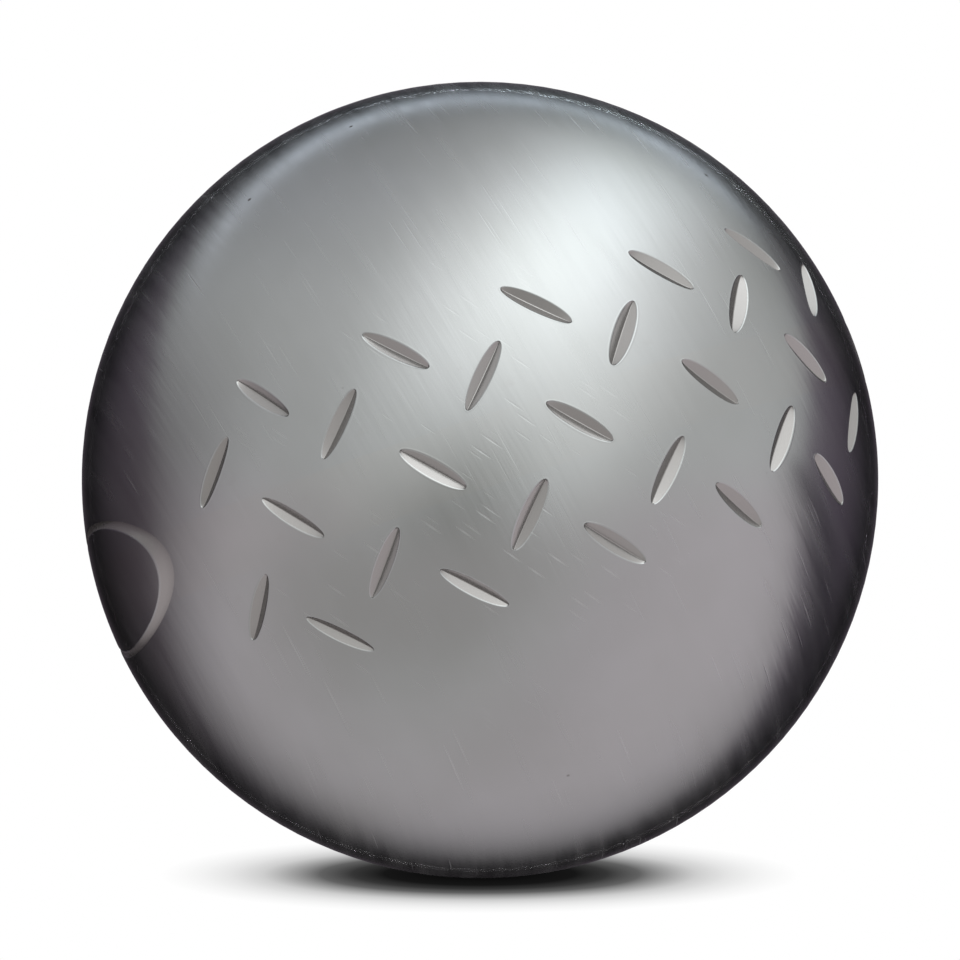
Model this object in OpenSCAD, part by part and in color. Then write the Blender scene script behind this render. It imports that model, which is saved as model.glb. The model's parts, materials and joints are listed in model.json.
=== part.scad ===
// Petanque boule: two forged half shells, keyed by a centring lip, with one weld bead round the belt.
// The origin is the centre of the ball. +Z is up with the ball resting as it was seen, and the seer
// looks along +Y. The belt of grooves is tilted to that upright, so most shapes are made upright in
// the belt's own frame first, with the belt's axis along Z, and belt_frame() then turns them.

/* [Ball] */
// Outside diameter of the ball
ball_d = 73; // [70.5:0.5:80]
// Thickness of the steel wall
wall = 6.4; // [5.5:0.1:8]

/* [Weld] */
// Width of the weld bead at the surface of the ball
weld_w = 6; // [5.5:0.1:7]
// Gap between the two half shells at the root of the weld
root_gap = 0.4; // [0.2:0.1:1]
// Thickness of the centring lip on the lower half shell
lip_t = 1.5; // [1:0.1:2.5]
// Height of the centring lip above the middle of the weld
lip_h = 1.8; // [1:0.1:3]
// Clearance between the centring lip and its rebate
lip_clearance = 0.1; // [0.05:0.05:0.3]

/* [Grooves] */
// Length of one groove
groove_len = 6.7; // [5:0.1:7.2]
// Mean width of the grooves in the middle and outer rows
falling_w = 1.6; // [1.4:0.1:2]
// Mean width of the grooves in the two rows between
rising_w = 1.7; // [1.4:0.1:2]
// Share by which the grooves are wider on the side that the cutter went deepest into
width_swing = 0.2; // [0:0.05:0.3]
// Turn of the side that the cutter went deepest into, about the belt's axis, in degrees
deep_side = 0; // [-180:1:180]
// Included angle of the V edge that cuts the grooves, in degrees
cutter_angle = 115; // [90:5:120]
// Columns of falling grooves between the two marks; there is one column more of rising ones
columns = 5; // [3:1:5]
// Turn from one column of grooves to the next of its kind, in degrees
column_step = 21.2; // [20:0.1:22]
// Slope of the grooves in the middle and outer rows, in degrees to the belt
falling_slope = -47; // [-60:1:-30]
// Slope of the grooves in the two rows between, in degrees to the belt
rising_slope = 48; // [30:1:60]
// Distance along the surface from the middle row to each row of rising grooves
rising_row_step = 6.3; // [6:0.1:7]
// Distance along the surface from the middle row to each outer row
outer_row_step = 11; // [10.5:0.1:13]

/* [Marks] */
// Length of the bare oval marks that break the belt on two opposite sides
mark_len = 30.2; // [20:0.1:34]
// Height of the bare oval marks
mark_w = 12.4; // [8:0.1:14]
// Width of the oval's border at its two ends
border_end_w = 2.5; // [1:0.1:3]
// Width of the oval's border at its long sides
border_side_w = 0.7; // [0.5:0.1:1.5]
// Depth of the oval's border below the surface
border_depth = 0.35; // [0.2:0.05:0.5]
// Distance along the surface from the middle of the belt up to the middle of a mark
mark_rise = 0.3; // [-1:0.1:1]

/* [Pose] */
// Turn of the belt's axis to the left of upright, in degrees
belt_tilt = 18.4; // [0:0.1:45]
// Lean of the belt's axis away from the seer, in degrees
belt_lean = 8.2; // [0:0.1:45]
// Turn of the middle of the first mark about the belt's axis, in degrees
mark_turn = -162.9; // [-180:0.1:180]

/* [Hidden] */
forged_steel = [0.60, 0.60, 0.61];
weld_steel = [0.66, 0.66, 0.66];

ball_r = ball_d / 2;
cavity_r = ball_r - wall;
ball_fn = 180;
lip_fn = 180;

// A cut runs this far past the face that it opens
overrun = 1;
// The inner face of the lip is the cavity itself; its outer face carries the weld's root
lip_r = sqrt(pow(cavity_r, 2) - pow(lip_h, 2)) + lip_t;
rebate_r = lip_r + lip_clearance;
rebate_top = lip_h + lip_clearance;
// The lip is rooted in the lower half shell for as far as it stands out of it
lip_root = lip_h;
weld_edge_r = sqrt(pow(ball_r, 2) - pow(weld_w / 2, 2));
bevel_slope = (weld_w - root_gap) / 2 / (weld_edge_r - lip_r);

// Facets round the V-edged disc that cuts the grooves
disc_fn = 90;

border_points = 120;

// The angle at the ball's centre of a distance along its surface
function surface_angle(distance) = distance / ball_r * 180 / PI;
// The turns of one row's grooves: this many on each side of the ball, halfway between the two marks
function row_turns(count) = [
    for (middle = [mark_turn + 90, mark_turn - 90])
        for (i = [0 : count - 1])
            middle + (i - (count - 1) / 2) * column_step
];

// Each row: its distance from the middle row, its slope, its number of grooves on each side of the
// ball, and their mean width
groove_rows = [
    [outer_row_step, falling_slope, columns, falling_w],
    [rising_row_step, rising_slope, columns + 1, rising_w],
    [0, falling_slope, columns, falling_w],
    [-rising_row_step, rising_slope, columns + 1, rising_w],
    [-outer_row_step, falling_slope, columns, falling_w]
];
// A row whose middle is nearer than this to a piece may cut into it
row_reach = groove_len / 2;

// Turns a shape from the belt's own frame to the resting pose
module belt_frame() {
    rotate([-belt_lean, -belt_tilt, 0])
        children();
}

// The V-edged disc that cuts this deep, its edge on the X axis and its own axis along Z
module cutting_disc(disc_r, depth) {
    bevel = depth + overrun;
    bevel_t = bevel * tan(cutter_angle / 2);
    rotate_extrude($fn = disc_fn)
        polygon([
            [0, -bevel_t],
            [disc_r - bevel, -bevel_t],
            [disc_r, 0],
            [disc_r - bevel, bevel_t],
            [0, bevel_t]
        ]);
}

// The disc as it stands in the ball at one groove, of the size that leaves a groove of the right length
module groove_cut(turn, rise, slope, mean_w) {
    width = mean_w * (1 + width_swing * cos(turn - deep_side));
    depth = width / 2 / tan(cutter_angle / 2);
    ball_sag = ball_r - sqrt(pow(ball_r, 2) - pow(groove_len / 2, 2));
    disc_sag = depth - ball_sag;
    disc_r = (pow(groove_len / 2, 2) + pow(disc_sag, 2)) / (2 * disc_sag);
    rotate([0, -rise, turn])
        translate([ball_r - depth + disc_r, 0, 0])
            rotate([slope, 0, 0])
                cutting_disc(disc_r, depth);
}

// Every groove whose row comes within reach of the heights from low to high
module groove_cuts(low, high) {
    for (row = groove_rows)
        if (row[0] + row_reach > low && row[0] - row_reach < high)
            for (turn = row_turns(row[2]))
                groove_cut(turn, surface_angle(row[0]), row[1], row[3]);
}

// The outline of an oval of this length and height
module oval(length, height) {
    polygon([
        for (i = [0 : border_points - 1])
            let (a = 360 * i / border_points)
            [length / 2 * cos(a), height / 2 * sin(a)]
    ]);
}

// The borders of both marks, pressed straight in towards the ball's centre, with a floor that follows
// the ball
module mark_cuts() {
    for (turn = [mark_turn, mark_turn + 180])
        rotate([0, -surface_angle(mark_rise), turn])
            difference() {
                rotate([90, 0, 90])
                    linear_extrude(height = ball_r + overrun)
                        difference() {
                            oval(mark_len, mark_w);
                            oval(mark_len - 2 * border_end_w, mark_w - 2 * border_side_w);
                        }
                sphere(r = ball_r - border_depth, $fn = ball_fn);
            }
}

// Half of the ball's hollow wall: above the middle of the weld for side 1, below it for side -1
module half_wall(side) {
    difference() {
        intersection() {
            sphere(r = ball_r, $fn = ball_fn);
            translate([-ball_r - overrun, -ball_r - overrun, side > 0 ? 0 : -ball_r - overrun])
                cube([2 * (ball_r + overrun), 2 * (ball_r + overrun), ball_r + overrun]);
        }
        sphere(r = cavity_r, $fn = ball_fn);
    }
}

// The V between the two bevelled rims, from a radius inside the lip to past the ball's surface
module weld_v(inner_r) {
    outer_r = ball_r + overrun;
    rotate_extrude($fn = lip_fn)
        polygon([
            [inner_r, -root_gap / 2],
            [lip_r, -root_gap / 2],
            [outer_r, -root_gap / 2 - bevel_slope * (outer_r - lip_r)],
            [outer_r, root_gap / 2 + bevel_slope * (outer_r - lip_r)],
            [lip_r, root_gap / 2],
            [inner_r, root_gap / 2]
        ]);
}

// The half shell with the rebate, above the weld
module upper_half_shell() {
    color(forged_steel)
        belt_frame()
            difference() {
                half_wall(1);
                weld_v(cavity_r - overrun);
                translate([0, 0, -overrun])
                    cylinder(r = rebate_r, h = rebate_top + overrun, $fn = lip_fn);
                groove_cuts(0, ball_r);
                mark_cuts();
            }
}

// The half shell with the centring lip, below the weld
module lower_half_shell() {
    color(forged_steel)
        belt_frame()
            difference() {
                union() {
                    difference() {
                        half_wall(-1);
                        weld_v(cavity_r - overrun);
                    }
                    translate([0, 0, -lip_root])
                        cylinder(r = lip_r, h = lip_root + lip_h, $fn = lip_fn);
                }
                sphere(r = cavity_r, $fn = ball_fn);
                groove_cuts(-ball_r, 0);
                mark_cuts();
            }
}

// The ring of filler metal between the bevels, machined flush with the ball
module weld_bead() {
    color(weld_steel)
        belt_frame()
            difference() {
                intersection() {
                    weld_v(lip_r);
                    sphere(r = ball_r, $fn = ball_fn);
                }
                groove_cuts(-weld_w / 2, weld_w / 2);
                mark_cuts();
            }
}

upper_half_shell();
lower_half_shell();
weld_bead();
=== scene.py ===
import json
import math

import bmesh
import bpy
import numpy as np
from bpy.props import FloatProperty, FloatVectorProperty, PointerProperty
from mathutils import Matrix, Vector

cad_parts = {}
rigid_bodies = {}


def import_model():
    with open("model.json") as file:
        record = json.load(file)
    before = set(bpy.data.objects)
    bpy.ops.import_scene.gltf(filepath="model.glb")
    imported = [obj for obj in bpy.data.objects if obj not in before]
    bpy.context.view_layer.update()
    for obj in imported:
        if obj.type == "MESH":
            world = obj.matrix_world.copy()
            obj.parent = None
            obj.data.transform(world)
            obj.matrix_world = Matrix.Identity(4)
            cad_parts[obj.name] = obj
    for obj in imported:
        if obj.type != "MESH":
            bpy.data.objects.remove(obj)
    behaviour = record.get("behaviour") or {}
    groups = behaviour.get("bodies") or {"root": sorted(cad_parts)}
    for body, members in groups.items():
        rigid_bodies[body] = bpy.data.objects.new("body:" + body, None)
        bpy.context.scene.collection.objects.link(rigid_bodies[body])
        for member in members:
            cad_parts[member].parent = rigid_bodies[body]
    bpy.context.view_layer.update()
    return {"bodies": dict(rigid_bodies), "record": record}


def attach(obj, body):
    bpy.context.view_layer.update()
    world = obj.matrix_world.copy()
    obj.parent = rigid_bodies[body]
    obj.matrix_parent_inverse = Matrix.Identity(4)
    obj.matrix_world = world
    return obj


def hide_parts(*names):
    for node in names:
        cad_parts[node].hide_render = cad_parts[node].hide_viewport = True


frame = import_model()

bl_info = {
    "name": "Petanque Boule",
    "version": (1, 0, 0),
    "blender": (4, 5, 0),
    "location": "View3D > Sidebar > Boule",
    "description": "A hollow steel boule with its weld, its belt of V grooves and its two bare oval marks",
    "category": "Add Mesh",
}

# Metres in a millimetre
MM = 0.001
CONTACT = next(
    Vector(mount["pos_m"]) for mount in frame["record"]["mounts"] if mount["name"] == "ground_contact"
)


def linear_rgb(hex_colour):
    """Turns an sRGB hex colour to linear red, green and blue."""
    channels = [int(hex_colour[i:i + 2], 16) / 255 for i in (1, 3, 5)]
    return [c / 12.92 if c <= 0.04045 else ((c + 0.055) / 1.055) ** 2.4 for c in channels]


# Sizes and colours

def a_length(name, description, metres, **settings):
    """A length that the user may change."""
    return FloatProperty(name=name, description=description, default=metres, unit="LENGTH", **settings)


def an_angle(name, description, degrees):
    """An angle that the user may change."""
    return FloatProperty(
        name=name, description=description, default=math.radians(degrees), subtype="ANGLE")


def a_share(name, description, default):
    """A share from 0 to 1 that the user may change."""
    return FloatProperty(
        name=name, description=description, default=default, min=0, max=1, subtype="FACTOR")


def a_colour(name, description, hex_colour):
    """A colour that the user may change."""
    return FloatVectorProperty(
        name=name, description=description, default=linear_rgb(hex_colour), min=0, max=1, subtype="COLOR")


class BouleShell(bpy.types.PropertyGroup):
    """The hollow ball, its weld and the lip that keys its halves together."""
    ball_radius: a_length("Ball Radius", "Outside radius of the ball", -CONTACT.z)
    wall: a_length("Wall", "Thickness of the steel wall", 6.4 * MM)
    weld_width: a_length("Weld Width", "Width of the weld bead at the surface of the ball", 6 * MM)
    root_gap: a_length("Root Gap", "Gap between the half shells at the root of the weld", 0.4 * MM)
    lip_thickness: a_length(
        "Lip Thickness", "Thickness of the centring lip on the lower half shell", 1.5 * MM)
    lip_height: a_length("Lip Height", "Height of the centring lip above the middle of the weld", 1.8 * MM)
    lip_clearance: a_length("Lip Clearance", "Clearance between the centring lip and its rebate", 0.1 * MM)
    belt_tilt: an_angle("Belt Tilt", "Turn of the belt's axis to the left of upright", 18.4)
    belt_lean: an_angle("Belt Lean", "Lean of the belt's axis away from the camera", 8.2)


class BouleGrooves(bpy.types.PropertyGroup):
    """The short V grooves that the cutter leaves in five rows round the belt."""
    length: a_length("Length", "Length of one groove", 6.7 * MM)
    falling_width: a_length(
        "Falling Width", "Mean width of the grooves in the middle and outer rows", 1.6 * MM)
    rising_width: a_length("Rising Width", "Mean width of the grooves in the two rows between", 1.7 * MM)
    swing: a_share(
        "Swing", "Share by which the grooves are wider where the cutter went deepest, narrower opposite", 0.2)
    deep_side: an_angle(
        "Deep Side", "Turn of the side where the ball, off centre in its chuck, met the cutter deepest", 0)
    cutter_angle: an_angle("Cutter Angle", "Included angle of the V edge that cuts the grooves", 115)
    falling_slope: an_angle("Falling Slope", "Slope of the grooves in the middle and outer rows", -47)
    rising_slope: an_angle("Rising Slope", "Slope of the grooves in the two rows between", 48)
    rising_row_step: a_length(
        "Rising Row Step", "Distance along the ball from the middle row to each rising row", 6.3 * MM)
    outer_row_step: a_length(
        "Outer Row Step", "Distance along the ball from the middle row to each outer row", 11 * MM)
    burr_height: a_length(
        "Burr Height", "Height of the polished burr that the cutter raised along a groove", 0.012 * MM)
    burr_width: a_length("Burr Width", "Width of the polished burr along a groove", 0.25 * MM)
    scatter: a_length("Scatter", "How far a groove lies from its true place, at most", 0.08 * MM)
    size_scatter: a_share("Size Scatter", "How much a groove's width differs from the mean, at most", 0.05)
    slope_scatter: an_angle("Slope Scatter", "How far a groove's slope is from the mean, at most", 1)


class BouleMark(bpy.types.PropertyGroup):
    """The bare oval marks that break the belt on two opposite sides."""
    length: a_length("Length", "Length of a mark along the belt", 30.2 * MM)
    height: a_length("Height", "Height of a mark across the belt", 12.4 * MM)
    border_end_width: a_length("End Width", "Width of the border at the two ends of a mark", 2.5 * MM)
    border_side_width: a_length("Side Width", "Width of the border at the long sides of a mark", 0.7 * MM)
    border_depth: a_length("Border Depth", "Depth of the border below the surface of the ball", 0.35 * MM)
    turn: an_angle("Turn", "Turn of the middle of the left mark about the belt's axis", -162.9)
    rise: a_length(
        "Rise", "Distance along the ball from the middle of the belt up to that of a mark", 0.3 * MM)


class BouleFinish(bpy.types.PropertyGroup):
    """Colours of the bare steel and the depth of what was left in it."""
    steel_colour: a_colour("Steel Colour", "Colour that the polished shells reflect", "#9FA1A1")
    weld_colour: a_colour(
        "Weld Colour", "Colour that the weld reflects, a trace lighter than the shells", "#A0A1A0")
    worn_colour: a_colour("Worn Colour", "Colour of the patches that the hand has dulled", "#9A9C9B")
    groove_colour: a_colour("Groove Colour", "Colour of the milled faces of the grooves", "#959391")
    scratch_colour: a_colour("Scratch Colour", "Colour of the bare metal in the scratches", "#ACAEAE")
    nick_colour: a_colour("Nick Colour", "Colour of the dirt in the nicks", "#6A6766")
    roughness: a_share("Roughness", "Blur of the satin polish", 0.25)
    groove_roughness: a_share("Groove Roughness", "Blur of the milled faces of the grooves", 0.2)
    groove_metal: a_share(
        "Groove Metal", "Share of the grooves' faces that shines as metal through the dust", 0.75)
    scratch_roughness: a_share("Scratch Roughness", "Blur of the torn metal in the deepest scratches", 0.42)
    scratch_depth: a_length("Scratch Depth", "Depth of the deepest scratches", 0.012 * MM, precision=6)
    grain_depth: a_length(
        "Grain Depth", "Depth of the faint streaks that the polishing belt left", 0.02 * MM, precision=6)
    milling_depth: a_length(
        "Milling Depth", "Depth of the cutter's marks on the faces of the grooves", 0.006 * MM, precision=6)


class BouleStudio(bpy.types.PropertyGroup):
    """The camera and the white table that the ball stands on."""
    camera_distance: a_length(
        "Camera Distance", "Distance from the camera to the middle of the ball, 15 ball radii",
        -15 * CONTACT.z)
    camera_elevation: an_angle("Camera Elevation", "Height of the camera over the middle of the ball", 5)
    table_radius: a_length("Table Radius", "Radius of the round white table", 4000 * MM)
    table_colour: a_colour("Table Colour", "Colour of the table and of the wall behind it", "#FFFFFF")
    # The ball's contact shadow is painted on the table; these set how far it reaches
    shadow_length: a_length(
        "Shadow Length", "How far the contact shadow reaches to the left and right", 29.5 * MM)
    shadow_width: a_length(
        "Shadow Width", "How far the contact shadow reaches to the front and back", 23 * MM)


# The surface of the ball, worked out in the belt's own frame with its axis along Z

# Grooves in a full ring, if the marks left no gaps in it, and columns of falling grooves between the
# marks, where there is one more of rising ones. The cells of quads fit these numbers alone.
RING_COUNT = 17
COLUMNS = 5
PITCH = 2 * math.pi / RING_COUNT
# Quads along one groove's share of the ring, and up one side of its cell
ACROSS = 36
UP = 16
# Rings of quads from the outer rows to the pole, and down the wall of the cavity
CAP_RINGS = 24
CAVITY_RINGS = 12
# The wavy line between the rising and outer rows: its mean rise, half the height of its waves, and how
# far each trough lies from the middle of its falling groove
WAVY_EDGE = math.radians(13.74)
WAVY_HEIGHT = math.radians(0.8)
WAVY_LEAD = math.radians(3.6)
# The level line past the outer rows
BELT_EDGE = math.radians(22)
# Points of neighbouring parts closer than this become one
MERGE = 0.0005 * MM
# Faces that meet at more than the first angle have a sharp edge, and those within the second of the
# ball's own slope lie on it
SHARP_ANGLE = math.radians(25)
LEVEL_ANGLE = math.radians(15)
# Picks the grooves' scatter
SEED = 5
# A groove's length is scattered by this share of what its width is
LENGTH_SCATTER_SHARE = 0.4

# Across a groove from its edge to its middle: shares of the half width, and of the V's full depth
CUT_SECTION_SHARES = ((1.0, 0.0), (0.95, 0.025), (0.89, 0.085), (0.5, 0.5), (0.05, 0.95), (0.0, 0.95))
# Over the burr outside a groove's edge: shares of its width, of its height, and the most of the way
# to the border of the cell that a ring may take
BURR_SHARES = ((0.0, 0.3, 0.0), (0.2, 1.0, 0.06), (0.5, 0.6, 0.15), (1.0, 0.0, 0.3))
# From a groove's edge to the border of its cell, in steps so short that no flat face sags far off the ball
CELL_SHARES = (0.44, 0.58, 0.72, 0.86, 1.0)

# Across the mark's border from its outer to its inner edge: shares of its width and of its depth
MARK_SECTION_SHARES = (
    (0.0, 0.0), (0.03, 0.3), (0.07, 0.8), (0.12, 1.0), (0.3, 0.95), (0.6, 0.6), (0.8, 0.27), (0.93, 0.06),
    (1.0, 0.0))
# From the mark's outer edge to the border of its block, and from its inner edge to its middle
MARK_BLOCK_SHARES = (0.04, 0.12, 0.3, 0.52, 0.75, 1.0)
MARK_FIELD_SHARES = (0.97, 0.9, 0.8, 0.7, 0.6, 0.5, 0.4, 0.3, 0.2, 0.1, 0.03, 0.0)


def on_ball(radius, turn, rise):
    """Points of a sphere at a turn about the belt's axis and a rise from the belt's plane: the radius
    times (cos rise cos turn, cos rise sin turn, sin rise)."""
    turn, rise = np.broadcast_arrays(turn, rise)
    flat = np.cos(rise)
    return radius * np.stack([flat * np.cos(turn), flat * np.sin(turn), np.sin(rise)], axis=-1)


def tangent_axes(turn, rise, slope):
    """Outward, along and across at places on the ball: outward is the sphere's normal, and along is its
    east turned up by the slope, towards north."""
    turn, rise, slope = (a[..., None] for a in np.broadcast_arrays(turn, rise, slope))
    nought = np.zeros_like(turn)
    outward = np.concatenate([np.cos(rise) * np.cos(turn), np.cos(rise) * np.sin(turn), np.sin(rise)], -1)
    east = np.concatenate([-np.sin(turn), np.cos(turn), nought], -1)
    north = np.concatenate([-np.sin(rise) * np.cos(turn), -np.sin(rise) * np.sin(turn), np.cos(rise)], -1)
    along = np.cos(slope) * east + np.sin(slope) * north
    across = np.cos(slope) * north - np.sin(slope) * east
    return outward, along, across


def raised_points(radius, along_by, across_by, axes):
    """Points over a tangent plane: out to the sphere of this radius, which may differ from point to
    point, at the given distances along and across."""
    outward, along, across = axes
    out = np.sqrt(radius ** 2 - along_by ** 2 - across_by ** 2)
    return out[..., None] * outward + along_by[..., None] * along + across_by[..., None] * across


def part_way(start, end, share):
    """Distances along and across, at a share of the way from one line of points to another."""
    return [a + (b - a) * share for a, b in zip(start, end)]


def grid_quads(rows, columns, closed):
    """Corner numbers of the quads of a grid of points, whose columns join up in a ring when closed."""
    row = np.arange(rows - 1)[:, None]
    column = np.arange(columns if closed else columns - 1)[None, :]
    right = (column + 1) % columns
    corners = [row * columns + column, row * columns + right,
               (row + 1) * columns + right, (row + 1) * columns + column]
    return np.stack(np.broadcast_arrays(*corners), axis=-1).reshape(-1, 4)


def grid_part(points, closed=False):
    """One part from a grid of points: its points in a row, and its quads."""
    rows, columns = points.shape[:2]
    return points.reshape(-1, 3), grid_quads(rows, columns, closed)


def joined(parts):
    """Several parts as one, with the quads of each renumbered past the points before it."""
    starts = np.cumsum([0] + [len(points) for points, quads in parts[:-1]])
    points = np.concatenate([points for points, quads in parts])
    quads = np.concatenate([quads + start for (_, quads), start in zip(parts, starts)])
    return points, quads


def mirrored(part, side):
    """A part worked out for the upper side, or its mirror image below the belt for side -1."""
    points, quads = part
    return (points, quads) if side > 0 else (points * (1, 1, -1), quads[:, ::-1])


def weld_rise(shell):
    """Rise of the weld's edge on the surface of the ball."""
    return math.asin(shell.weld_width / 2 / shell.ball_radius)


def flat_edge(rise):
    """A line round the ball at one rise, as a function of the turn."""
    return lambda turn: np.full_like(turn, rise)


def mark_turns(mark):
    """Turns of the middles of the left mark and of the one opposite."""
    return mark.turn, mark.turn + math.pi


def row_turns(mark, count):
    """Turns of one row's grooves: this many in front, halfway between the marks, and as many behind."""
    steps = np.arange(count) - (count - 1) / 2
    from_mark = math.pi / 2 + steps * 2 * math.pi / RING_COUNT
    return np.concatenate([turn + from_mark for turn in mark_turns(mark)])


def wavy_edge(mark, side):
    """The line between the rising and the outer row: a cosine of the turn that passes above the rising
    tips and below the falling ones, and that stays level past the marks."""
    reach = (COLUMNS + 1) * math.pi / RING_COUNT

    def edge(turn):
        off_middle = (turn - mark.turn) % math.pi - math.pi / 2
        past_trough = np.clip(off_middle, -reach, reach) - side * WAVY_LEAD
        return WAVY_EDGE - WAVY_HEIGHT * np.cos(RING_COUNT * past_trough)
    return edge


def between(low, high, turn, steps):
    """Rises from one line to another in even steps, a row for each step and a column for each turn."""
    share = np.linspace(0, 1, steps + 1)[:, None]
    return low(turn)[None, :] * (1 - share) + high(turn)[None, :] * share


def plain_patch(radius, start, pitches, low, high, steps):
    """A plain stretch of the ball between two lines, from a turn on for a number of groove pitches."""
    turn = start + np.linspace(0, pitches * PITCH, int(round(pitches * ACROSS)) + 1)
    return grid_part(on_ball(radius, turn[None, :], between(low, high, turn, steps)))


def ring_border(left, right, low, high, across, up_edges):
    """Turn and rise round a block, anticlockwise from its low left corner. The sides climb through the
    rises in up_edges, in UP even steps between two of them."""
    share = np.arange(across) / across
    bottom = left + (right - left) * share
    top = right - (right - left) * share
    climb = [edges[:-1, None] + np.diff(edges)[:, None] * np.arange(UP) / UP for edges in up_edges]
    right_side = climb[1].ravel()
    left_side = np.append(climb[0].ravel(), up_edges[0][-1])[:0:-1]
    turn = np.concatenate([bottom, np.full(len(right_side), right), top, np.full(len(left_side), left)])
    rise = np.concatenate([low(bottom), right_side, high(top), left_side])
    return turn, rise


def groove_rings(shell, grooves, middles, rise, slope, width, low, high, rng):
    """The cells of one row of grooves, each a set of rings from the bottom of the V out to the border of
    its cell. In the tangent plane a groove's edge is a half length times cos t along and a half width
    times sin t across. Rings inside it are drawn in across only and go down the V; rings outside it
    ride over the burr and run out straight to the border."""
    radius = shell.ball_radius
    borders = [
        ring_border(m - PITCH / 2, m + PITCH / 2, low, high, ACROSS,
                    [np.array([low(np.array(e)), high(np.array(e))]) for e in (m - PITCH / 2, m + PITCH / 2)])
        for m in middles
    ]
    border = on_ball(radius, np.array([b[0] for b in borders]), np.array([b[1] for b in borders]))
    cells, count = border.shape[:2]

    # Each groove's own place, slope and size
    shift = rng.uniform(-1, 1, (2, cells)) * grooves.scatter / radius
    turn_at = middles + shift[0] / math.cos(rise)
    rise_at = rise + shift[1]
    slope_at = slope + rng.uniform(-1, 1, cells) * grooves.slope_scatter
    longer = rng.uniform(-LENGTH_SCATTER_SHARE, LENGTH_SCATTER_SHARE, cells)
    half_length = grooves.length / 2 * (1 + longer * grooves.size_scatter)
    swing = 1 + grooves.swing * np.cos(turn_at - grooves.deep_side)
    half_width = width / 2 * swing * (1 + rng.uniform(-1, 1, cells) * grooves.size_scatter)
    axes = [a[:, None, :] for a in tangent_axes(turn_at, rise_at, slope_at)]

    # The tip of the groove faces the border's point that lies nearest to it
    reach = grooves.length / 2 * math.cos(slope) / (radius * math.cos(rise) * PITCH)
    tip = round((0.5 + reach) * ACROSS) if slope < 0 else ACROSS + UP + round((0.5 - reach) * ACROSS)
    t = 2 * math.pi * (np.arange(count) - tip) / count
    edge = half_length[:, None] * np.cos(t), half_width[:, None] * np.sin(t)
    full_depth = np.abs(edge[1]) / math.tan(grooves.cutter_angle / 2)
    outer = [(border * axis).sum(-1) for axis in axes[1:]]
    way = np.hypot(outer[0] - edge[0], outer[1] - edge[1])

    rings = []
    for width_share, depth_share in reversed(CUT_SECTION_SHARES[1:]):
        flush = raised_points(radius, edge[0], edge[1] * width_share, axes)
        rings.append(flush - (full_depth * depth_share)[..., None] * axes[0])
    for width_share, height_share, most in BURR_SHARES:
        share = np.minimum(grooves.burr_width * width_share / way, most)
        lifted = radius + grooves.burr_height * height_share
        rings.append(raised_points(lifted, *part_way(edge, outer, share), axes))
    for share in CELL_SHARES:
        rings.append(raised_points(radius, *part_way(edge, outer, share), axes))
    rings = np.stack(rings, axis=1)
    return joined([grid_part(cell, closed=True) for cell in rings])


def mark_block(shell, mark, middle):
    """The block of the ball round one mark, as rings from the middle of its bare field out to the
    border of the block. In the tangent plane the rings are ovals, a half length times cos t along and a
    half height times sin t across, where t is the elliptic angle of the border's point. Between the
    outer and inner oval they drop to the border's floor, which climbs back to the bare field."""
    radius = shell.ball_radius
    half_block = math.pi / 2 - (COLUMNS + 1) / 2 * PITCH
    left = middle - half_block
    right = middle + half_block
    weld = weld_rise(shell)
    edges = {side: wavy_edge(mark, side) for side in (1, -1)}
    sides = [
        np.array([-edges[-1](np.array(e)), -weld, weld, edges[1](np.array(e))]) for e in (left, right)
    ]
    across = int(round((right - left) / PITCH * ACROSS))
    turn, rise = ring_border(left, right, lambda a: -edges[-1](a), edges[1], across, sides)
    axes = [a[None, :] for a in tangent_axes(middle, mark.rise / radius, 0.0)]
    border = on_ball(radius, turn, rise)
    outer = [(border * axis).sum(-1) for axis in axes[1:]]

    half = mark.length / 2, mark.height / 2
    focus = math.sqrt(half[0] ** 2 - half[1] ** 2)
    t = np.arccosh((outer[0] + 1j * outer[1]) / focus).imag
    edge = half[0] * np.cos(t), half[1] * np.sin(t)
    inner = (half[0] - mark.border_end_width) * np.cos(t), (half[1] - mark.border_side_width) * np.sin(t)

    rings = []
    for share in reversed(MARK_FIELD_SHARES):
        rings.append(raised_points(radius, inner[0] * share, inner[1] * share, axes))
    for width_share, depth_share in reversed(MARK_SECTION_SHARES):
        sunk = radius - mark.border_depth * depth_share
        rings.append(raised_points(sunk, *part_way(edge, inner, width_share), axes))
    for share in MARK_BLOCK_SHARES:
        rings.append(raised_points(radius, *part_way(edge, outer, share), axes))
    return grid_part(np.stack(rings), closed=True)


# Pieces put together from their parts

def add_part(bm, part):
    """Adds a part's points and quads to the mesh in hand."""
    points, quads = part
    mesh = bpy.data.meshes.new("part")
    mesh.from_pydata(points, [], quads)
    bm.from_mesh(mesh)
    bpy.data.meshes.remove(mesh)


def cut_off(bm, height, keep_below):
    """Cuts the mesh in hand at a height on the belt's axis and drops what lies past it."""
    whole = bm.verts[:] + bm.edges[:] + bm.faces[:]
    bmesh.ops.bisect_plane(
        bm, geom=whole, dist=MERGE, plane_co=(0, 0, height), plane_no=(0, 0, 1),
        clear_outer=keep_below, clear_inner=not keep_below)


def read_all(items, attribute, width, kind=float):
    """One attribute of all the points, edges, corners or faces of a mesh, a row for each of them."""
    values = np.empty(len(items) * width, dtype=kind)
    items.foreach_get(attribute, values)
    return values.reshape(-1, width)


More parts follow.
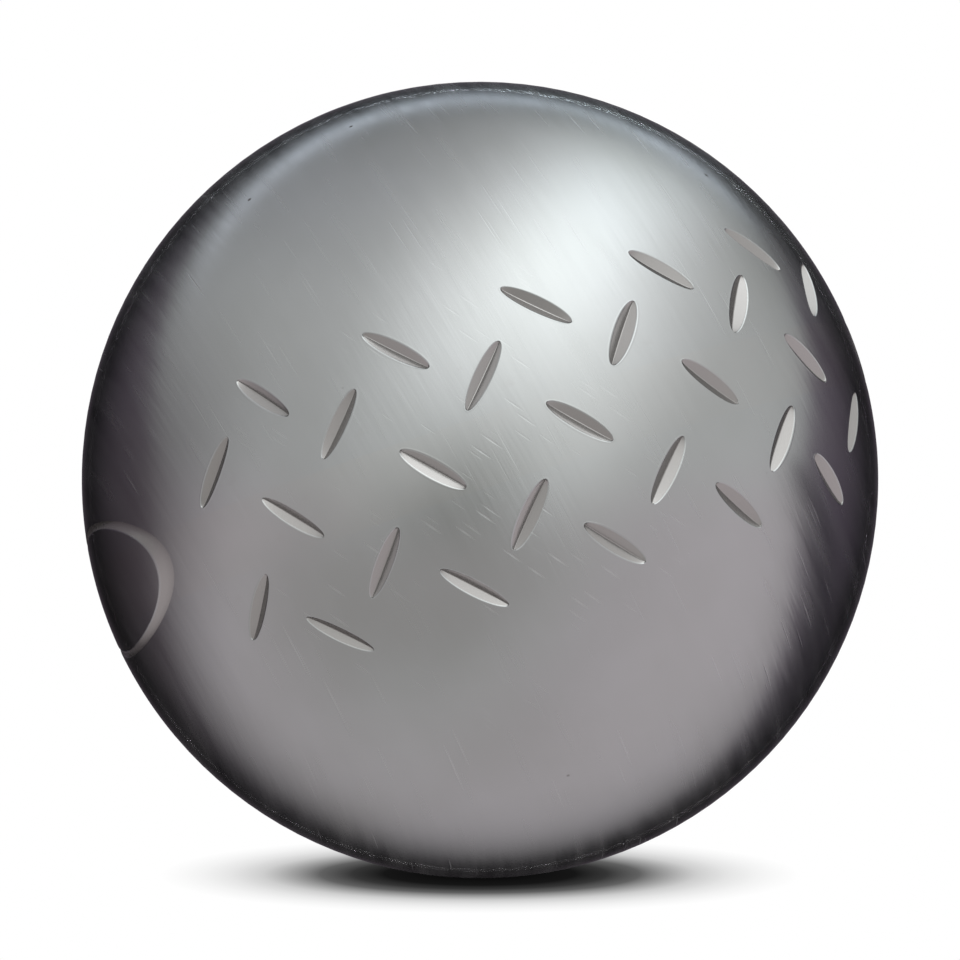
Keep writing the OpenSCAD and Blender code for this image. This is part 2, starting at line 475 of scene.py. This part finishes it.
def open_rims(bm):
    """The points on the open rims of the mesh in hand, once each, in order of their turn."""
    mesh = bpy.data.meshes.new("rim")
    bm.to_mesh(mesh)
    points = read_all(mesh.vertices, "co", 3)
    ends = read_all(mesh.edges, "vertices", 2, int)
    used = read_all(mesh.loops, "edge_index", 1, int)[:, 0]
    bpy.data.meshes.remove(mesh)
    faces_on = np.bincount(used, minlength=len(ends))
    rim = points[np.unique(ends[faces_on == 1])]
    return rim[np.argsort(np.arctan2(rim[:, 1], rim[:, 0]))]


def swept_profile(rim, profile):
    """A surface inside a rim: the rim itself, and then a ring of the profile's radius and height for
    each of its points, at the rim's own turns."""
    turn = np.arctan2(rim[:, 1], rim[:, 0])
    rings = [rim] + [
        np.stack([radius * np.cos(turn), radius * np.sin(turn), np.full_like(turn, height)], axis=-1)
        for radius, height in profile
    ]
    return grid_part(np.stack(rings), closed=True)


def weld_root(shell):
    """Radius of the weld's root on the lip, and how far the bevels climb for each metre outwards."""
    cavity = shell.ball_radius - shell.wall
    lip = math.sqrt(cavity ** 2 - shell.lip_height ** 2) + shell.lip_thickness
    edge = math.sqrt(shell.ball_radius ** 2 - (shell.weld_width / 2) ** 2)
    return lip, (shell.weld_width - shell.root_gap) / 2 / (edge - lip)


def inside_profile(shell, side):
    """The inside of a half shell, from the foot of its bevel to the pole of its cavity. The upper half
    has the rebate, and the lower half the lip that stands in it."""
    cavity = shell.ball_radius - shell.wall
    lip, bevel = weld_root(shell)
    if side > 0:
        seat = lip + shell.lip_clearance
        end = shell.lip_height + shell.lip_clearance
    else:
        seat = lip
        end = shell.lip_height
    foot = side * (shell.root_gap / 2 + bevel * (seat - lip))
    start = math.asin(end / cavity)
    angles = np.linspace(start, side * math.pi / 2, CAVITY_RINGS + 1)
    wall = list(zip(cavity * np.cos(angles), cavity * np.sin(angles)))
    return [(seat, foot), (seat, end)] + wall


def settled_mesh(name, bm, shell):
    """The finished mesh of a piece: near points merged, faces turned outwards, turned from the belt's
    frame to the resting pose, and shaded smooth between its edges. Where it lies on the ball, its
    normals are the sphere's own."""
    bmesh.ops.remove_doubles(bm, verts=bm.verts[:], dist=MERGE)
    bmesh.ops.dissolve_degenerate(bm, edges=bm.edges[:], dist=MERGE / 10)
    bmesh.ops.recalc_face_normals(bm, faces=bm.faces[:])
    pose = Matrix.Rotation(-shell.belt_tilt, 4, "Y") @ Matrix.Rotation(-shell.belt_lean, 4, "X")
    bm.transform(pose)
    mesh = bpy.data.meshes.new(name)
    bm.to_mesh(mesh)
    bm.free()
    mesh.shade_smooth()
    mesh.set_sharp_from_angle(angle=SHARP_ANGLE)

    points = read_all(mesh.vertices, "co", 3)
    corner = read_all(mesh.loops, "vertex_index", 1, int)[:, 0]
    sides = read_all(mesh.polygons, "loop_total", 1, int)[:, 0]
    face_normal = np.repeat(read_all(mesh.polygons, "normal", 3), sides, axis=0)
    distance = np.linalg.norm(points, axis=1)
    outward = (points / np.maximum(distance, MERGE)[:, None])[corner]
    flush = np.abs(distance[corner] - shell.ball_radius) < MERGE
    level = (face_normal * outward).sum(-1) > math.cos(LEVEL_ANGLE)
    normals = np.where((flush & level)[:, None], outward, 0.0)
    mesh.normals_split_custom_set(normals)
    return mesh


def add_piece(node, mesh, material):
    """Puts a piece in the scene in place of its CAD node, riding on the part's only body."""
    piece = bpy.data.objects.new(node + "_skin", mesh)
    bpy.context.scene.collection.objects.link(piece)
    piece.data.materials.append(material)
    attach(piece, next(iter(frame["bodies"])))
    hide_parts(node)


def half_shell_mesh(name, side, shell, grooves, mark):
    """A half shell: its rows of rising and outer grooves, its slices of the marks, the plain ball out
    to the pole, and inside it the bevel, the rebate or lip, and the cavity."""
    radius = shell.ball_radius
    rng = np.random.default_rng(SEED + side)
    weld = flat_edge(weld_rise(shell))
    wave = wavy_edge(mark, side)
    belt = flat_edge(BELT_EDGE)
    rising = row_turns(mark, COLUMNS + 1)
    falling = row_turns(mark, COLUMNS)
    gap_count = RING_COUNT / 2 - COLUMNS
    parts = [
        groove_rings(shell, grooves, rising, grooves.rising_row_step / radius,
                     side * grooves.rising_slope, grooves.rising_width, weld, wave, rng),
        groove_rings(shell, grooves, falling, grooves.outer_row_step / radius,
                     side * grooves.falling_slope, grooves.falling_width, wave, belt, rng),
        plain_patch(radius, falling[0] - PITCH / 2, RING_COUNT, belt, flat_edge(math.pi / 2), CAP_RINGS),
    ]
    parts += [
        plain_patch(radius, turn - gap_count / 2 * PITCH, gap_count, wave, belt, UP)
        for turn in mark_turns(mark)
    ]
    bm = bmesh.new()
    for turn in mark_turns(mark):
        add_part(bm, mark_block(shell, mark, turn))
    cut_off(bm, side * shell.weld_width / 2, keep_below=side < 0)
    for part in parts:
        add_part(bm, mirrored(part, side))
    bmesh.ops.remove_doubles(bm, verts=bm.verts[:], dist=MERGE)
    add_part(bm, swept_profile(open_rims(bm), inside_profile(shell, side)))
    return settled_mesh(name, bm, shell)


def weld_bead_mesh(name, shell, grooves, mark):
    """The weld bead: the middle row of grooves, its slices of the marks, and under them the two bevels
    down to its root on the lip."""
    radius = shell.ball_radius
    rng = np.random.default_rng(SEED)
    high = flat_edge(weld_rise(shell))
    low = flat_edge(-weld_rise(shell))
    middles = row_turns(mark, COLUMNS)
    bm = bmesh.new()
    for turn in mark_turns(mark):
        add_part(bm, mark_block(shell, mark, turn))
    cut_off(bm, shell.weld_width / 2, keep_below=True)
    cut_off(bm, -shell.weld_width / 2, keep_below=False)
    add_part(bm, groove_rings(
        shell, grooves, middles, 0.0, grooves.falling_slope, grooves.falling_width, low, high, rng))
    # Half a pitch of plain weld lies between each end of the grooves and the mark's block
    for first in (middles[0] - PITCH, middles[0] - PITCH + math.pi):
        for start in (first, first + (COLUMNS + 0.5) * PITCH):
            add_part(bm, plain_patch(radius, start, 0.5, low, high, UP))
    bmesh.ops.remove_doubles(bm, verts=bm.verts[:], dist=MERGE)
    rims = open_rims(bm)
    root = weld_root(shell)[0]
    for side in (1, -1):
        rim = rims[rims[:, 2] * side > 0]
        add_part(bm, swept_profile(rim, [(root, side * shell.root_gap / 2)]))
    bmesh.ops.remove_doubles(bm, verts=bm.verts[:], dist=MERGE)
    bmesh.ops.bridge_loops(bm, edges=[e for e in bm.edges if e.is_boundary])
    return settled_mesh(name, bm, shell)


# Nodes

# The sockets of a Mix node that blends two colours
MIX_FACTOR = 0
MIX_FIRST = 6
MIX_SECOND = 7
MIX_RESULT = 2


def add_node(tree, kind, inputs=None, **settings):
    """Adds a node with its settings. Its inputs, by name or number, are plain values or other nodes'
    outputs, which are linked."""
    node = tree.nodes.new(kind)
    for name, value in settings.items():
        setattr(node, name, value)
    for key, value in (inputs or {}).items():
        if isinstance(value, bpy.types.NodeSocket):
            tree.links.new(value, node.inputs[key])
        else:
            node.inputs[key].default_value = value
    return node


def emptied_tree(owner):
    """The node tree of a material or a world, with nothing in it."""
    owner.use_nodes = True
    owner.node_tree.nodes.clear()
    return owner.node_tree


def opaque(colour):
    """A colour with its full opacity, as a colour socket takes it."""
    return (*colour, 1.0)


def axes_turn(axis, roll=0.0):
    """The turn whose local Z is this axis and whose local X lies level before it is rolled."""
    axis = Vector(axis).normalized()
    east = Vector((0, 0, 1)).cross(axis).normalized()
    north = axis.cross(east)
    across = math.cos(roll) * east + math.sin(roll) * north
    upward = math.cos(roll) * north - math.sin(roll) * east
    return Matrix((across, upward, axis)).transposed().to_euler()


# Finish of the steel

# Marks of one kind run round one axis, the way the ball was turned in the hand or under the belt.
# Seen from the front, marks round the first axis fall to the right at about 35 degrees, and those
# round the second at about 62.
SHORT_MARKS_AXIS = (0.57, 0.1, 0.82)
LONG_MARKS_AXIS = (0.88, 0.15, 0.47)
# The middle of the patch on the front of the ball that other balls knocked most
KNOCKED_SPOT = Vector((-2, -36, 2)) * MM
# How far from the ball's middle, along their axis, scratches start to fade and are gone, as shares of
# its radius
FADE_SHARES = (0.8, 0.92)
# The surface starts to count as groove this far below the ball's own, and counts in full this far
GROOVE_STARTS = 0.02 * MM
GROOVE_FULL = 0.08 * MM
# How far the satin's roughness is from its mean, at most
SATIN_SWING = 0.03
# What bare steel mirrors where it is seen edge on: little, because the ridges of the satin shade it
EDGE_TINT = (0.06, 0.06, 0.06)


def stretched_place(tree, place, axis, length, width):
    """Coordinates in which a round blot becomes a mark of this length and width round the axis."""
    return add_node(tree, "ShaderNodeMapping", {
        "Vector": place, "Rotation": axes_turn(axis), "Scale": (length, length, width)},
        vector_type="TEXTURE").outputs["Vector"]


def scratches(tree, place, radius, axis, length, width, kept_share, thinned_by):
    """How deep single scratches lie, from 0 to 1: thin slices round the points of a stretched Voronoi
    pattern. Luck sets how deep each one is: with a kept share of 0.9 a tenth of them are gone, and past
    1 all stay and grow more alike. Close to the axis, where a slice would lie flat on the ball, they
    fade out, and each share in thinned_by thins them further."""
    # A cell of the pattern is this many scratches long and wide
    spread = 2.4
    cells = add_node(tree, "ShaderNodeTexVoronoi", {
        "Vector": stretched_place(tree, place, axis, length * spread, width * spread), "Scale": 1.0})
    thin = add_node(tree, "ShaderNodeMapRange", {
        "Value": cells.outputs["Distance"], "From Min": 0.5 / spread, "From Max": 0.0})
    luck = add_node(tree, "ShaderNodeSeparateColor", {"Color": cells.outputs["Color"]})
    kept = add_node(tree, "ShaderNodeMapRange", {
        "Value": luck.outputs["Red"], "From Min": kept_share, "From Max": 0.0})
    upright = add_node(tree, "ShaderNodeMapping", {"Vector": place, "Rotation": axes_turn(axis)},
                       vector_type="TEXTURE")
    parts = add_node(tree, "ShaderNodeSeparateXYZ", {"Vector": upright.outputs["Vector"]})
    height = add_node(tree, "ShaderNodeMath", {0: parts.outputs["Z"]}, operation="ABSOLUTE")
    clear = add_node(tree, "ShaderNodeMapRange", {
        "Value": height.outputs[0], "From Min": FADE_SHARES[1] * radius, "From Max": FADE_SHARES[0] * radius})
    deep = thin.outputs["Result"]
    for share in (kept, clear, *thinned_by):
        deep = add_node(tree, "ShaderNodeMath", {0: deep, 1: share.outputs["Result"]},
                        operation="MULTIPLY").outputs[0]
    return deep


def satin_steel(name, colour, radius, finish):
    """Carbon steel, forged, turned and polished on a belt to a satin, then scratched in play. To the eye
    it is a grey mirror blurred to soft patches of light, with faint streaks round the ball, fine
    scratches that catch the light, and milled faces in its grooves, set a darker, warmer colour and a duller
    shine wherever the surface lies sunk."""
    material = bpy.data.materials.new(name)
    tree = emptied_tree(material)
    place = add_node(tree, "ShaderNodeTexCoord").outputs["Object"]

    # Where the surface lies below the ball's own: 0 on the ball, 1 in the grooves and the marks' borders
    distance = add_node(tree, "ShaderNodeVectorMath", {0: place}, operation="LENGTH")
    sunk = add_node(tree, "ShaderNodeMapRange", {
        "Value": distance.outputs["Value"], "From Min": radius - GROOVE_STARTS,
        "From Max": radius - GROOVE_FULL})
    in_groove = sunk.outputs["Result"]

    # Thumb-sized patches, and the streaks that the polishing belt left, some 1 mm apart and 14 mm long
    patches = add_node(tree, "ShaderNodeTexNoise", {
        "Vector": place, "Scale": 1 / (14 * MM), "Detail": 3.0, "Roughness": 0.55})
    streaks = add_node(tree, "ShaderNodeTexNoise", {
        "Vector": stretched_place(tree, place, LONG_MARKS_AXIS, 14 * MM, 1.1 * MM),
        "Scale": 1.0, "Detail": 3.0, "Roughness": 0.6})
    # Milling marks 0.7 mm apart, coarser than real ones so that they show
    milling = add_node(tree, "ShaderNodeTexNoise", {
        "Vector": place, "Scale": 1 / (0.7 * MM), "Detail": 2.0})

    # Short scratches in clusters on the knocked patch, and single long ones all round the ball
    clusters = add_node(tree, "ShaderNodeTexNoise", {"Vector": place, "Scale": 1 / (9 * MM), "Detail": 1.0})
    crowded = add_node(tree, "ShaderNodeMapRange", {
        "Value": clusters.outputs["Fac"], "From Min": 0.42, "From Max": 0.52})
    off_spot = add_node(tree, "ShaderNodeVectorMath", {0: place, 1: KNOCKED_SPOT}, operation="DISTANCE")
    knocked = add_node(tree, "ShaderNodeMapRange", {
        "Value": off_spot.outputs["Value"], "From Min": 24 * MM, "From Max": 12 * MM})
    short = scratches(
        tree, place, radius, SHORT_MARKS_AXIS, 2.6 * MM, 0.2 * MM, 2.4, (crowded, knocked))
    handled = add_node(tree, "ShaderNodeMapRange", {
        "Value": patches.outputs["Fac"], "From Min": 0.4, "From Max": 0.55})
    long = scratches(tree, place, radius, LONG_MARKS_AXIS, 6 * MM, 0.14 * MM, 0.9, (handled,))
    depth = add_node(tree, "ShaderNodeMath", {0: short, 1: long}, operation="MAXIMUM").outputs[0]

    # Nicks under 0.5 mm across, some 7 mm apart
    nick_cells = add_node(tree, "ShaderNodeTexVoronoi", {"Vector": place, "Scale": 1 / (7 * MM)})
    nicks = add_node(tree, "ShaderNodeMapRange", {
        "Value": nick_cells.outputs["Distance"], "From Min": 0.035, "From Max": 0.015})

    # Height of the surface in metres
    scratched = add_node(tree, "ShaderNodeMath", {0: depth, 1: -finish.scratch_depth}, operation="MULTIPLY")
    belted = add_node(tree, "ShaderNodeMath", {
        0: streaks.outputs["Fac"], 1: finish.grain_depth, 2: scratched.outputs[0]}, operation="MULTIPLY_ADD")
    milled = add_node(tree, "ShaderNodeMath", {
        0: milling.outputs["Fac"], 1: finish.milling_depth}, operation="MULTIPLY")
    height = add_node(tree, "ShaderNodeMix", {
        "Factor": in_groove, "A": belted.outputs[0], "B": milled.outputs[0]})
    bump = add_node(tree, "ShaderNodeBump", {
        "Height": height.outputs["Result"], "Strength": 1.0, "Distance": 1.0})

    # Colour: patches of worn polish, bare scratches, a darker, warmer colour wherever the surface lies sunk,
    # and dark nicks, each over the last
    worn = add_node(tree, "ShaderNodeMapRange", {
        "Value": patches.outputs["Fac"], "From Min": 0.35, "From Max": 0.7})
    shown = opaque(colour)
    for cover, layer in (
            (worn.outputs["Result"], finish.worn_colour), (depth, finish.scratch_colour),
            # The grooves and the marks' borders, sunk below the ball, take a darker, warmer colour
            (in_groove, finish.groove_colour), (nicks.outputs["Result"], finish.nick_colour)):
        shown = add_node(tree, "ShaderNodeMix", {
            MIX_FACTOR: cover, MIX_FIRST: shown, MIX_SECOND: opaque(layer)},
            data_type="RGBA").outputs[MIX_RESULT]

    # Roughness: the satin changes a little from streak to streak, and the scratches are torn
    satin = add_node(tree, "ShaderNodeMapRange", {
        "Value": streaks.outputs["Fac"], "From Min": 0.3, "From Max": 0.7,
        "To Min": finish.roughness - SATIN_SWING, "To Max": finish.roughness + SATIN_SWING})
    torn = add_node(tree, "ShaderNodeMix", {
        "Factor": depth, "A": satin.outputs["Result"], "B": finish.scratch_roughness})
    blur = add_node(tree, "ShaderNodeMix", {
        "Factor": in_groove, "A": torn.outputs["Result"], "B": finish.groove_roughness})

    # A film of dust lies in the grooves and in the marks' borders
    bare = add_node(tree, "ShaderNodeMapRange", {
        "Value": in_groove, "To Min": 1.0, "To Max": finish.groove_metal})

    steel = add_node(tree, "ShaderNodeBsdfPrincipled", {
        "Base Color": shown, "Metallic": bare.outputs["Result"], "Roughness": blur.outputs["Result"],
        "Specular Tint": opaque(EDGE_TINT), "Normal": bump.outputs["Normal"]})
    add_node(tree, "ShaderNodeOutputMaterial", {"Surface": steel.outputs["BSDF"]})
    return material


# Studio

# Soft-edged cards round the ball, each over the ones before it: where it stands, in degrees from the
# camera towards the right and in degrees over the ball; half its width and height as shares of its
# distance; its roll in degrees; the share of it that its edge blurs over; its level, and its colour.
# Bright ones are softboxes, dark ones black flags, and they light the ball but aren't seen themselves.
STUDIO_CARDS = {
    "key softbox": (44, 63, 1.15, 0.19, 36, 1.0, 2.75, "#F6FDFF"),
    "front softbox": (9, 30, 0.41, 0.88, -22, 1.0, 4.1, "#FCFEFF"),
    "rear strip light": (168, 29, 0.69, 0.06, 18, 0.53, 15, "#EAF0FF"),
    "rear shade": (225, 54, 0.48, 0.49, 16, 1.0, 0.79, "#F9FAFF"),
    "dark hall": (179, -8, 1.4, 0.59, 2, 0.01, 0.27, "#F9DFFF"),
    "left flag": (-131, -16, 0.78, 0.37, 28, 0.86, 0.13, "#FFE4F9"),
    "right flag": (133, -24, 0.7, 0.12, -34, 0.03, 0.085, "#F1DCFF"),
    "camera": (-10, -14, 0.55, 0.97, -25, 1.0, 0.44, "#FFFEF9"),
    "front edge of the table": (-13, -28, 0.65, 0.28, 14, 0.62, 0.68, "#FFFAF9"),
}
# The light from the wall above the horizon and from the table below it, and how far the one runs into
# the other, on a sphere of radius 1
WALL_LIGHT = "#FFFFFF"
TABLE_LIGHT = "#FFF6FB"
HORIZON_BLUR = 0.1
# The painted contact shadow: shares of its reach, and of the table's light left there
PAINTED_SHADOW_SHARES = (
    (0.0, 0.0), (0.3, 0.008), (0.4, 0.036), (0.5, 0.12), (0.59, 0.36),
    (0.68, 0.62), (0.78, 0.79), (0.87, 0.9), (0.94, 0.96), (1.0, 1.0))
# How far the painted shadow reaches in the ball's own reflection, as a share of what the camera sees
REFLECTED_PAINTED_SHADOW_SHARE = 0.5
# The photograph's width and the radius of the ball's outline in it, in pixels
PHOTO_WIDTH = 960
PHOTO_BALL_RADIUS = 398.3
# Points round the table
TABLE_POINTS = 128


def around(azimuth, elevation):
    """The direction at an angle from the camera's side towards the right, and at an angle over the ball."""
    level = math.cos(elevation)
    return Vector((math.sin(azimuth) * level, -math.cos(azimuth) * level, math.sin(elevation)))


def studio_light():
    """A node group that gives the light from a direction: the white wall above, the white table below,
    and every card over them."""
    tree = bpy.data.node_groups.new("studio_light", "ShaderNodeTree")
    tree.interface.new_socket(name="Direction", in_out="INPUT", socket_type="NodeSocketVector")
    tree.interface.new_socket(name="Light", in_out="OUTPUT", socket_type="NodeSocketColor")
    direction = add_node(tree, "NodeGroupInput").outputs["Direction"]
    upward = add_node(tree, "ShaderNodeSeparateXYZ", {"Vector": direction})
    horizon = add_node(tree, "ShaderNodeMapRange", {
        "Value": upward.outputs["Z"], "From Min": -HORIZON_BLUR, "From Max": HORIZON_BLUR})
    light = add_node(tree, "ShaderNodeMix", {
        MIX_FACTOR: horizon.outputs["Result"], MIX_FIRST: opaque(linear_rgb(TABLE_LIGHT)),
        MIX_SECOND: opaque(linear_rgb(WALL_LIGHT))}, data_type="RGBA").outputs[MIX_RESULT]
    for azimuth, elevation, width, height, roll, soft, level, hex_colour in STUDIO_CARDS.values():
        axis = around(math.radians(azimuth), math.radians(elevation))
        on_card = add_node(tree, "ShaderNodeMapping", {
            "Vector": direction, "Location": axis, "Rotation": axes_turn(axis, math.radians(roll)),
            "Scale": (width, height, 1)}, vector_type="TEXTURE")
        off_middle = add_node(
            tree, "ShaderNodeVectorMath", {0: on_card.outputs["Vector"]}, operation="LENGTH")
        cover = add_node(tree, "ShaderNodeMapRange", {
            "Value": off_middle.outputs["Value"], "From Min": 1 + soft, "From Max": 1 - soft},
            interpolation_type="SMOOTHSTEP")
        glow = [level * c for c in linear_rgb(hex_colour)]
        light = add_node(tree, "ShaderNodeMix", {
            MIX_FACTOR: cover.outputs["Result"], MIX_FIRST: light, MIX_SECOND: opaque(glow)},
            data_type="RGBA").outputs[MIX_RESULT]
    add_node(tree, "NodeGroupOutput", {"Light": light})
    return tree


def seen_or_lit(tree, seen, lit):
    """The light that the camera sees, or the one that lights the ball and shows in its reflection."""
    rays = add_node(tree, "ShaderNodeLightPath")
    return add_node(tree, "ShaderNodeMixShader", {
        0: rays.outputs["Is Camera Ray"], 1: lit, 2: seen}).outputs["Shader"]


def white_surroundings(group, studio):
    """The world: plain white to the camera, and the studio's light to the ball."""
    world = bpy.data.worlds.new("white_surroundings")
    tree = emptied_tree(world)
    direction = add_node(tree, "ShaderNodeTexCoord").outputs["Generated"]
    studio_glow = add_node(tree, "ShaderNodeGroup", {"Direction": direction}, node_tree=group)
    lit = add_node(tree, "ShaderNodeBackground", {"Color": studio_glow.outputs["Light"]})
    seen = add_node(tree, "ShaderNodeBackground", {"Color": opaque(studio.table_colour)})
    shown = seen_or_lit(tree, seen.outputs["Background"], lit.outputs["Background"])
    add_node(tree, "ShaderNodeOutputWorld", {"Surface": shown})
    return world


def painted_shadow_left(tree, place, studio, reach_share):
    """The painted shadow beside the ball, as the share of the table's light left there: a ramp over the
    distance from the point of contact, measured in an oval."""
    flat = add_node(tree, "ShaderNodeVectorMath", {0: place, 1: (1, 1, 0)}, operation="MULTIPLY")
    oval = add_node(tree, "ShaderNodeMapping", {
        "Vector": flat.outputs["Vector"],
        "Scale": (studio.shadow_length * reach_share, studio.shadow_width * reach_share, 1)},
        vector_type="TEXTURE")
    reach = add_node(tree, "ShaderNodeVectorMath", {0: oval.outputs["Vector"]}, operation="LENGTH")
    ramp = add_node(tree, "ShaderNodeValToRGB", {"Fac": reach.outputs["Value"]})
    stops = ramp.color_ramp.elements
    while len(stops) < len(PAINTED_SHADOW_SHARES):
        stops.new(1.0)
    for stop, (position, left) in zip(stops, PAINTED_SHADOW_SHARES):
        stop.position = position
        stop.color = opaque((left, left, left))
    return ramp.outputs["Color"]


def white_table(studio):
    """White laminate: to the eye a plain white with a painted shadow of the ball. The ball's reflection
    looks through it at the lower half of the studio's light, which is the table's, dimmed where the painted
    shadow lies."""
    material = bpy.data.materials.new("white_laminate")
    tree = emptied_tree(material)
    place = add_node(tree, "ShaderNodeTexCoord").outputs["Object"]
    # Painted shadow: the table's white darkened round the point of contact
    colour = add_node(tree, "ShaderNodeMix", {
        MIX_FACTOR: 1.0, MIX_FIRST: painted_shadow_left(tree, place, studio, 1),
        MIX_SECOND: opaque(studio.table_colour)}, data_type="RGBA", blend_type="MULTIPLY")
    seen = add_node(tree, "ShaderNodeEmission", {"Color": colour.outputs[MIX_RESULT]}).outputs["Emission"]
    # Painted shadow in the ball's reflection: the studio light through the table, dimmed near the contact
    lit = add_node(tree, "ShaderNodeBsdfTransparent", {
        "Color": painted_shadow_left(tree, place, studio, REFLECTED_PAINTED_SHADOW_SHARE)}).outputs["BSDF"]
    add_node(tree, "ShaderNodeOutputMaterial", {"Surface": seen_or_lit(tree, seen, lit)})
    return material


# Operators

def add_half_shell(scene, node, side):
    """Puts the upper half shell, side 1, or the lower one, side -1, in the scene. Both are of one
    steel, made once."""
    shell = scene.boule_shell
    finish = scene.boule_finish
    name = "satin_forged_steel"
    steel = bpy.data.materials.get(name) or satin_steel(
        name, finish.steel_colour, shell.ball_radius, finish)
    mesh = half_shell_mesh(node + "_skin", side, shell, scene.boule_grooves, scene.boule_mark)
    add_piece(node, mesh, steel)


class BOULE_OT_upper_half_shell(bpy.types.Operator):
    """Make the upper half shell"""
    bl_idname = "boule.upper_half_shell"
    bl_label = "Upper Half Shell"

    def execute(self, context):
        add_half_shell(context.scene, "upper_half_shell", 1)
        return {"FINISHED"}


class BOULE_OT_lower_half_shell(bpy.types.Operator):
    """Make the lower half shell"""
    bl_idname = "boule.lower_half_shell"
    bl_label = "Lower Half Shell"

    def execute(self, context):
        add_half_shell(context.scene, "lower_half_shell", -1)
        return {"FINISHED"}


class BOULE_OT_weld_bead(bpy.types.Operator):
    """Make the weld bead"""
    bl_idname = "boule.weld_bead"
    bl_label = "Weld Bead"

    def execute(self, context):
        scene = context.scene
        finish = scene.boule_finish
        mesh = weld_bead_mesh("weld_bead_skin", scene.boule_shell, scene.boule_grooves, scene.boule_mark)
        steel = satin_steel(
            "machined_weld_steel", finish.weld_colour, scene.boule_shell.ball_radius, finish)
        add_piece("weld_bead", mesh, steel)
        return {"FINISHED"}


class BOULE_OT_studio(bpy.types.Operator):
    """Make the white table, the light round the ball and the camera"""
    bl_idname = "boule.studio"
    bl_label = "Studio"

    def execute(self, context):
        scene = context.scene
        studio = scene.boule_studio
        scene.world = white_surroundings(studio_light(), studio)

        turn = np.linspace(0, 2 * math.pi, TABLE_POINTS, endpoint=False)
        rim = np.stack([
            studio.table_radius * np.cos(turn), studio.table_radius * np.sin(turn),
            np.full_like(turn, CONTACT.z)], axis=-1)
        mesh = bpy.data.meshes.new("table")
        mesh.from_pydata(rim, [], [range(TABLE_POINTS)])
        mesh.materials.append(white_table(studio))
        table = bpy.data.objects.new("table", mesh)
        scene.collection.objects.link(table)

        camera = bpy.data.cameras.new("camera")
        half_angle = math.asin(scene.boule_shell.ball_radius / studio.camera_distance)
        half_view = math.tan(half_angle) * PHOTO_WIDTH / 2 / PHOTO_BALL_RADIUS
        camera.lens = camera.sensor_width / 2 / half_view
        viewer = bpy.data.objects.new("camera", camera)
        scene.collection.objects.link(viewer)
        side = around(0, studio.camera_elevation)
        viewer.location = side * studio.camera_distance
        viewer.rotation_euler = side.to_track_quat("Z", "Y").to_euler()
        scene.camera = viewer
        scene.view_settings.view_transform = "Standard"
        return {"FINISHED"}


class BOULE_PT_sidebar(bpy.types.Panel):
    """The makers of the boule's pieces, and the sizes and colours that they read"""
    bl_idname = "BOULE_PT_sidebar"
    bl_label = "Petanque Boule"
    bl_space_type = "VIEW_3D"
    bl_region_type = "UI"
    bl_category = "Boule"

    def draw(self, context):
        for maker in MAKERS:
            self.layout.operator(maker.bl_idname)
        for name, group in GROUPS.items():
            box = self.layout.box()
            box.label(text=group.bl_rna.description)
            for size in group.__annotations__:
                box.prop(getattr(context.scene, name), size)


# The scene's own copy of each group of sizes, by name
GROUPS = {
    "boule_shell": BouleShell,
    "boule_grooves": BouleGrooves,
    "boule_mark": BouleMark,
    "boule_finish": BouleFinish,
    "boule_studio": BouleStudio,
}
MAKERS = (
    BOULE_OT_upper_half_shell, BOULE_OT_lower_half_shell, BOULE_OT_weld_bead, BOULE_OT_studio)


def register():
    for cls in (*GROUPS.values(), *MAKERS, BOULE_PT_sidebar):
        bpy.utils.register_class(cls)
    for name, group in GROUPS.items():
        setattr(bpy.types.Scene, name, PointerProperty(type=group))


def unregister():
    for name in GROUPS:
        delattr(bpy.types.Scene, name)
    for cls in (BOULE_PT_sidebar, *reversed(MAKERS), *reversed(GROUPS.values())):
        bpy.utils.unregister_class(cls)


def main():
    register()
    bpy.ops.boule.upper_half_shell()
    bpy.ops.boule.lower_half_shell()
    bpy.ops.boule.weld_bead()
    bpy.ops.boule.studio()


if __name__ == "__main__":
    main()
